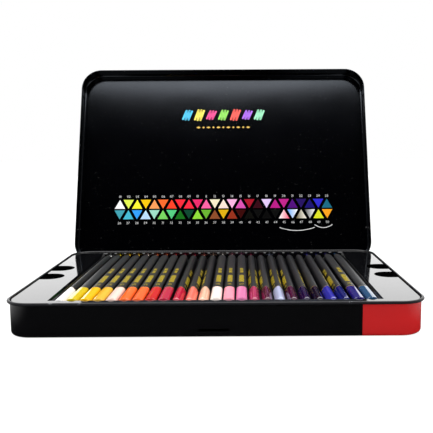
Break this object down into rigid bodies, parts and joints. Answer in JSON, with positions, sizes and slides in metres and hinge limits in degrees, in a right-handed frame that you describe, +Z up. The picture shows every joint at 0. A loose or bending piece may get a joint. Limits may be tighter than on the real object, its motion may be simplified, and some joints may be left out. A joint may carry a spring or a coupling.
{
  "type": "colored pencil tin",
  "caption": "Hinged flat tinplate box with stacked lift-out trays of triangular coloured pencils, shown with its lid open.",
  "frame": {"origin": "middle of the base's underside", "axes": "+X along the width to the right end, +Y to the hinges at the back, +Z up"},
  "size_m": [0.2824, 0.2637, 0.1976],
  "materials": {
    "tin_base": "gloss black lacquer, with a red band across its right end",
    "tin_lid": "gloss black lacquer, with a printed colour chart inside",
    "hinge_pin_left": "bright wire",
    "hinge_pin_right": "bright wire",
    "lower_tray": "gloss black formed plastic",
    "upper_tray": "gloss black formed plastic",
    "lower_pencil_01": "matte grey lacquer, gold foil marks and ring, gloss dipped end, sharpened point",
    "lower_pencil_02": "matte grey lacquer, gold foil marks and ring, gloss dipped end, sharpened point",
    "lower_pencil_03": "matte grey lacquer, gold foil marks and ring, gloss dipped end, sharpened point",
    "lower_pencil_04": "matte grey lacquer, gold foil marks and ring, gloss dipped end, sharpened point",
    "lower_pencil_05": "matte grey lacquer, gold foil marks and ring, gloss dipped end, sharpened point",
    "lower_pencil_06": "matte grey lacquer, gold foil marks and ring, gloss dipped end, sharpened point",
    "lower_pencil_07": "matte grey lacquer, gold foil marks and ring, gloss dipped end, sharpened point",
    "lower_pencil_08": "matte grey lacquer, gold foil marks and ring, gloss dipped end, sharpened point",
    "lower_pencil_09": "matte grey lacquer, gold foil marks and ring, gloss dipped end, sharpened point",
    "lower_pencil_10": "matte grey lacquer, gold foil marks and ring, gloss dipped end, sharpened point",
    "lower_pencil_11": "matte grey lacquer, gold foil marks and ring, gloss dipped end, sharpened point",
    "lower_pencil_12": "matte grey lacquer, gold foil marks and ring, gloss dipped end, sharpened point",
    "lower_pencil_13": "matte grey lacquer, gold foil marks and ring, gloss dipped end, sharpened point",
    "lower_pencil_14": "matte grey lacquer, gold foil marks and ring, gloss dipped end, sharpened point",
    "lower_pencil_15": "matte grey lacquer, gold foil marks and ring, gloss dipped end, sharpened point",
    "lower_pencil_16": "matte grey lacquer, gold foil marks and ring, gloss dipped end, sharpened point",
    "lower_pencil_17": "matte grey lacquer, gold foil marks and ring, gloss dipped end, sharpened point",
    "lower_pencil_18": "matte grey lacquer, gold foil marks and ring, gloss dipped end, sharpened point",
    "lower_pencil_19": "matte grey lacquer, gold foil marks and ring, gloss dipped end, sharpened point",
    "lower_pencil_20": "matte grey lacquer, gold foil marks and ring, gloss dipped end, sharpened point",
    "lower_pencil_21": "matte grey lacquer, gold foil marks and ring, gloss dipped end, sharpened point",
    "lower_pencil_22": "matte grey lacquer, gold foil marks and ring, gloss dipped end, sharpened point",
    "lower_pencil_23": "matte grey lacquer, gold foil marks and ring, gloss dipped end, sharpened point",
    "lower_pencil_24": "matte grey lacquer, gold foil marks and ring, gloss dipped end, sharpened point",
    "lower_pencil_25": "matte grey lacquer, gold foil marks and ring, gloss dipped end, sharpened point",
    "upper_pencil_01": "matte grey lacquer, gold foil marks and ring, gloss dipped end, sharpened point",
    "upper_pencil_02": "matte grey lacquer, gold foil marks and ring, gloss dipped end, sharpened point",
    "upper_pencil_03": "matte grey lacquer, gold foil marks and ring, gloss dipped end, sharpened point",
    "upper_pencil_04": "matte grey lacquer, gold foil marks and ring, gloss dipped end, sharpened point",
    "upper_pencil_05": "matte grey lacquer, gold foil marks and ring, gloss dipped end, sharpened point",
    "upper_pencil_06": "matte grey lacquer, gold foil marks and ring, gloss dipped end, sharpened point",
    "upper_pencil_07": "matte grey lacquer, gold foil marks and ring, gloss dipped end, sharpened point",
    "upper_pencil_08": "matte grey lacquer, gold foil marks and ring, gloss dipped end, sharpened point",
    "upper_pencil_09": "matte grey lacquer, gold foil marks and ring, gloss dipped end, sharpened point",
    "upper_pencil_10": "matte grey lacquer, gold foil marks and ring, gloss dipped end, sharpened point",
    "upper_pencil_11": "matte grey lacquer, gold foil marks and ring, gloss dipped end, sharpened point",
    "upper_pencil_12": "matte grey lacquer, gold foil marks and ring, gloss dipped end, sharpened point",
    "upper_pencil_13": "matte grey lacquer, gold foil marks and ring, gloss dipped end, sharpened point",
    "upper_pencil_14": "matte grey lacquer, gold foil marks and ring, gloss dipped end, sharpened point",
    "upper_pencil_15": "matte grey lacquer, gold foil marks and ring, gloss dipped end, sharpened point",
    "upper_pencil_16": "matte grey lacquer, gold foil marks and ring, gloss dipped end, sharpened point",
    "upper_pencil_17": "matte grey lacquer, gold foil marks and ring, gloss dipped end, sharpened point",
    "upper_pencil_18": "matte grey lacquer, gold foil marks and ring, gloss dipped end, sharpened point",
    "upper_pencil_19": "matte grey lacquer, gold foil marks and ring, gloss dipped end, sharpened point",
    "upper_pencil_20": "matte grey lacquer, gold foil marks and ring, gloss dipped end, sharpened point",
    "upper_pencil_21": "matte grey lacquer, gold foil marks and ring, gloss dipped end, sharpened point",
    "upper_pencil_22": "matte grey lacquer, gold foil marks and ring, gloss dipped end, sharpened point",
    "upper_pencil_23": "matte grey lacquer, gold foil marks and ring, gloss dipped end, sharpened point",
    "upper_pencil_24": "matte grey lacquer, gold foil marks and ring, gloss dipped end, sharpened point",
    "upper_pencil_25": "matte grey lacquer, gold foil marks and ring, gloss dipped end, sharpened point"
  },
  "bodies": {
    "base": {"tin_base": "tin_base", "hinge_pin_left": "hinge_pin_left", "hinge_pin_right": "hinge_pin_right"},
    "lid": {"tin_lid": "tin_lid"},
    "lower_tray": {"lower_tray": "lower_tray", "lower_pencil_01": "lower_pencil_01", "lower_pencil_02": "lower_pencil_02", "lower_pencil_03": "lower_pencil_03", "lower_pencil_04": "lower_pencil_04", "lower_pencil_05": "lower_pencil_05", "lower_pencil_06": "lower_pencil_06", "lower_pencil_07": "lower_pencil_07", "lower_pencil_08": "lower_pencil_08", "lower_pencil_09": "lower_pencil_09", "lower_pencil_10": "lower_pencil_10", "lower_pencil_11": "lower_pencil_11", "lower_pencil_12": "lower_pencil_12", "lower_pencil_13": "lower_pencil_13", "lower_pencil_14": "lower_pencil_14", "lower_pencil_15": "lower_pencil_15", "lower_pencil_16": "lower_pencil_16", "lower_pencil_17": "lower_pencil_17", "lower_pencil_18": "lower_pencil_18", "lower_pencil_19": "lower_pencil_19", "lower_pencil_20": "lower_pencil_20", "lower_pencil_21": "lower_pencil_21", "lower_pencil_22": "lower_pencil_22", "lower_pencil_23": "lower_pencil_23", "lower_pencil_24": "lower_pencil_24", "lower_pencil_25": "lower_pencil_25"},
    "upper_tray": {"upper_tray": "upper_tray"},
    "upper_pencil_01": {"upper_pencil_01": "upper_pencil_01"},
    "upper_pencil_02": {"upper_pencil_02": "upper_pencil_02"},
    "upper_pencil_03": {"upper_pencil_03": "upper_pencil_03"},
    "upper_pencil_04": {"upper_pencil_04": "upper_pencil_04"},
    "upper_pencil_05": {"upper_pencil_05": "upper_pencil_05"},
    "upper_pencil_06": {"upper_pencil_06": "upper_pencil_06"},
    "upper_pencil_07": {"upper_pencil_07": "upper_pencil_07"},
    "upper_pencil_08": {"upper_pencil_08": "upper_pencil_08"},
    "upper_pencil_09": {"upper_pencil_09": "upper_pencil_09"},
    "upper_pencil_10": {"upper_pencil_10": "upper_pencil_10"},
    "upper_pencil_11": {"upper_pencil_11": "upper_pencil_11"},
    "upper_pencil_12": {"upper_pencil_12": "upper_pencil_12"},
    "upper_pencil_13": {"upper_pencil_13": "upper_pencil_13"},
    "upper_pencil_14": {"upper_pencil_14": "upper_pencil_14"},
    "upper_pencil_15": {"upper_pencil_15": "upper_pencil_15"},
    "upper_pencil_16": {"upper_pencil_16": "upper_pencil_16"},
    "upper_pencil_17": {"upper_pencil_17": "upper_pencil_17"},
    "upper_pencil_18": {"upper_pencil_18": "upper_pencil_18"},
    "upper_pencil_19": {"upper_pencil_19": "upper_pencil_19"},
    "upper_pencil_20": {"upper_pencil_20": "upper_pencil_20"},
    "upper_pencil_21": {"upper_pencil_21": "upper_pencil_21"},
    "upper_pencil_22": {"upper_pencil_22": "upper_pencil_22"},
    "upper_pencil_23": {"upper_pencil_23": "upper_pencil_23"},
    "upper_pencil_24": {"upper_pencil_24": "upper_pencil_24"},
    "upper_pencil_25": {"upper_pencil_25": "upper_pencil_25"}
  },
  "joints": [
    {"name": "lid_hinge", "type": "hinge", "parent": "base", "child": "lid", "pos_m": [0, 0.09604, 0.0137], "axis": [-1, 0, 0], "range_deg": [-108.3, 0]},
    {"name": "lower_tray_lift", "type": "slide", "parent": "base", "child": "lower_tray", "axis": [0, 0, 1], "range_m": [0, 0.04]},
    {"name": "upper_tray_lift", "type": "slide", "parent": "lower_tray", "child": "upper_tray", "axis": [0, 0, 1], "range_m": [0, 0.06]},
    {"name": "pencil_lift_01", "type": "slide", "parent": "upper_tray", "child": "upper_pencil_01", "axis": [0, 0, 1], "range_m": [0, 0.03]},
    {"name": "pencil_lift_02", "type": "slide", "parent": "upper_tray", "child": "upper_pencil_02", "axis": [0, 0, 1], "range_m": [0, 0.03]},
    {"name": "pencil_lift_03", "type": "slide", "parent": "upper_tray", "child": "upper_pencil_03", "axis": [0, 0, 1], "range_m": [0, 0.03]},
    {"name": "pencil_lift_04", "type": "slide", "parent": "upper_tray", "child": "upper_pencil_04", "axis": [0, 0, 1], "range_m": [0, 0.03]},
    {"name": "pencil_lift_05", "type": "slide", "parent": "upper_tray", "child": "upper_pencil_05", "axis": [0, 0, 1], "range_m": [0, 0.03]},
    {"name": "pencil_lift_06", "type": "slide", "parent": "upper_tray", "child": "upper_pencil_06", "axis": [0, 0, 1], "range_m": [0, 0.03]},
    {"name": "pencil_lift_07", "type": "slide", "parent": "upper_tray", "child": "upper_pencil_07", "axis": [0, 0, 1], "range_m": [0, 0.03]},
    {"name": "pencil_lift_08", "type": "slide", "parent": "upper_tray", "child": "upper_pencil_08", "axis": [0, 0, 1], "range_m": [0, 0.03]},
    {"name": "pencil_lift_09", "type": "slide", "parent": "upper_tray", "child": "upper_pencil_09", "axis": [0, 0, 1], "range_m": [0, 0.03]},
    {"name": "pencil_lift_10", "type": "slide", "parent": "upper_tray", "child": "upper_pencil_10", "axis": [0, 0, 1], "range_m": [0, 0.03]},
    {"name": "pencil_lift_11", "type": "slide", "parent": "upper_tray", "child": "upper_pencil_11", "axis": [0, 0, 1], "range_m": [0, 0.03]},
    {"name": "pencil_lift_12", "type": "slide", "parent": "upper_tray", "child": "upper_pencil_12", "axis": [0, 0, 1], "range_m": [0, 0.03]},
    {"name": "pencil_lift_13", "type": "slide", "parent": "upper_tray", "child": "upper_pencil_13", "axis": [0, 0, 1], "range_m": [0, 0.03]},
    {"name": "pencil_lift_14", "type": "slide", "parent": "upper_tray", "child": "upper_pencil_14", "axis": [0, 0, 1], "range_m": [0, 0.03]},
    {"name": "pencil_lift_15", "type": "slide", "parent": "upper_tray", "child": "upper_pencil_15", "axis": [0, 0, 1], "range_m": [0, 0.03]},
    {"name": "pencil_lift_16", "type": "slide", "parent": "upper_tray", "child": "upper_pencil_16", "axis": [0, 0, 1], "range_m": [0, 0.03]},
    {"name": "pencil_lift_17", "type": "slide", "parent": "upper_tray", "child": "upper_pencil_17", "axis": [0, 0, 1], "range_m": [0, 0.03]},
    {"name": "pencil_lift_18", "type": "slide", "parent": "upper_tray", "child": "upper_pencil_18", "axis": [0, 0, 1], "range_m": [0, 0.03]},
    {"name": "pencil_lift_19", "type": "slide", "parent": "upper_tray", "child": "upper_pencil_19", "axis": [0, 0, 1], "range_m": [0, 0.03]},
    {"name": "pencil_lift_20", "type": "slide", "parent": "upper_tray", "child": "upper_pencil_20", "axis": [0, 0, 1], "range_m": [0, 0.03]},
    {"name": "pencil_lift_21", "type": "slide", "parent": "upper_tray", "child": "upper_pencil_21", "axis": [0, 0, 1], "range_m": [0, 0.03]},
    {"name": "pencil_lift_22", "type": "slide", "parent": "upper_tray", "child": "upper_pencil_22", "axis": [0, 0, 1], "range_m": [0, 0.03]},
    {"name": "pencil_lift_23", "type": "slide", "parent": "upper_tray", "child": "upper_pencil_23", "axis": [0, 0, 1], "range_m": [0, 0.03]},
    {"name": "pencil_lift_24", "type": "slide", "parent": "upper_tray", "child": "upper_pencil_24", "axis": [0, 0, 1], "range_m": [0, 0.03]},
    {"name": "pencil_lift_25", "type": "slide", "parent": "upper_tray", "child": "upper_pencil_25", "axis": [0, 0, 1], "range_m": [0, 0.03]}
  ]
}
